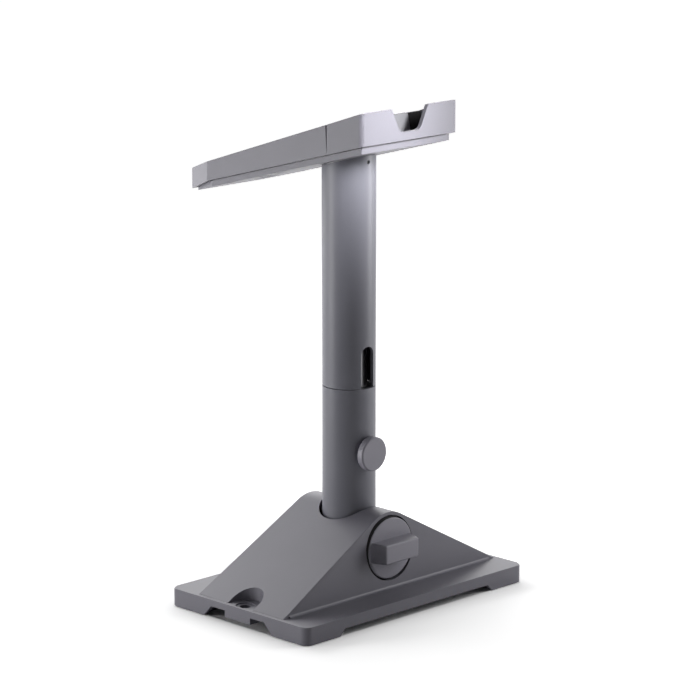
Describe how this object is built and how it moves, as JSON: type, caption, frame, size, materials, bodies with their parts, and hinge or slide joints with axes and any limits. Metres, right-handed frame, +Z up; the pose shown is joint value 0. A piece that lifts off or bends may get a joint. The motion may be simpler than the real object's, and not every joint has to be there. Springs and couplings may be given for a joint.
{
  "type": "overhead document scanner stand",
  "caption": "Overhead scanner: slanted camera head on a telescopic round column, clamped in a weighted wedge base with screw-down pockets and cable lanes.",
  "frame": {"origin": "centre of the whole box in plan, on the table under the foot pads", "axes": "+Z up along the column, +X along the base's long side, +Y from the knobs towards the head's tip"},
  "size_m": [0.223, 0.197, 0.3648],
  "materials": {
    "grey_shell": "matte dark grey moulding with a faint blue tint",
    "grey_tube": "matte dark grey coating on drawn tube",
    "grey_plastic": "fine matte dark grey",
    "dark_plastic": "matte black",
    "dark_steel": "blackened, smooth",
    "steel": "plain",
    "alloy": "plain casting",
    "brass": "machined",
    "rubber": "matte black",
    "light_plate": "satin light grey",
    "board_green": "coated circuit board",
    "diffuser": "milky",
    "lens_glass": "clear over black"
  },
  "bodies": {
    "base": {"base_housing": "grey_shell", "foot_rail_front": "grey_shell", "foot_rail_back": "grey_shell", "screw_foot_left": "grey_shell", "screw_foot_right": "grey_shell", "foot_pad_1": "rubber", "foot_pad_2": "rubber", "foot_pad_3": "rubber", "foot_pad_4": "rubber", "ballast_plate": "steel", "ballast_screw_1": "steel", "ballast_screw_2": "steel", "ballast_screw_3": "steel", "ballast_screw_4": "steel", "socket_screw_1": "steel", "socket_screw_2": "steel", "socket_screw_3": "steel", "socket_screw_4": "steel", "column_socket": "dark_plastic", "spindle_bush": "brass"},
    "clamp_knob": {"clamp_knob": "grey_plastic", "clamp_spindle": "steel"},
    "clamp_shoe": {"clamp_shoe": "dark_plastic"},
    "column": {"lower_tube": "grey_tube", "tube_plug": "dark_plastic", "guide_bush": "dark_plastic", "thumb_insert": "brass"},
    "thumb_tip": {"thumb_tip": "dark_plastic"},
    "thumb_screw": {"thumb_knob": "grey_plastic", "thumb_stem": "steel"},
    "mast": {"upper_tube": "grey_tube", "inner_tube": "dark_steel", "glide_ring": "dark_plastic", "joining_ring": "dark_plastic", "head_spigot": "alloy", "set_screw": "steel", "head_front_shell": "grey_shell", "head_rear_shell": "grey_shell", "head_bottom_panel": "grey_plastic", "panel_screw_1": "steel", "panel_screw_2": "steel", "panel_screw_3": "steel", "panel_screw_4": "steel", "socket_plate": "light_plate", "bay_end_plate": "dark_plastic", "usb_socket": "steel", "power_socket": "dark_plastic", "camera_module": "dark_plastic", "lens_barrel": "dark_plastic", "lens_window": "lens_glass", "led_board_left": "board_green", "led_board_right": "board_green", "led_diffuser_left": "diffuser", "led_diffuser_right": "diffuser", "main_board": "board_green"}
  },
  "joints": [
    {"name": "clamp_turn", "type": "hinge", "parent": "base", "child": "clamp_knob", "pos_m": [0, -0.06988, 0.043], "axis": [0, -1, 0], "range_deg": [0, 90]},
    {"name": "clamp_shoe_slide", "type": "slide", "parent": "base", "child": "clamp_shoe", "axis": [0, -1, 0], "range_m": [0, 0.0012]},
    {"name": "column_turn", "type": "hinge", "parent": "base", "child": "column", "pos_m": [0, -0.0285, 0.0132], "axis": [0, 0, 1], "range_deg": [-170, 170]},
    {"name": "thumb_tip_slide", "type": "slide", "parent": "column", "child": "thumb_tip", "axis": [0, -1, 0], "range_m": [0, 0.0015]},
    {"name": "thumb_turn", "type": "hinge", "parent": "thumb_tip", "child": "thumb_screw", "pos_m": [0, -0.0489, 0.1095], "axis": [0, -1, 0], "range_deg": [0, 540]},
    {"name": "mast_slide", "type": "slide", "parent": "column", "child": "mast", "axis": [0, 0, 1], "range_m": [0, 0.07]}
  ],
  "couplings": [
    {"joint": "clamp_turn", "follows": "clamp_shoe_slide", "rad_per_m": 1309},
    {"joint": "thumb_turn", "follows": "thumb_tip_slide", "rad_per_m": 6283.1}
  ]
}
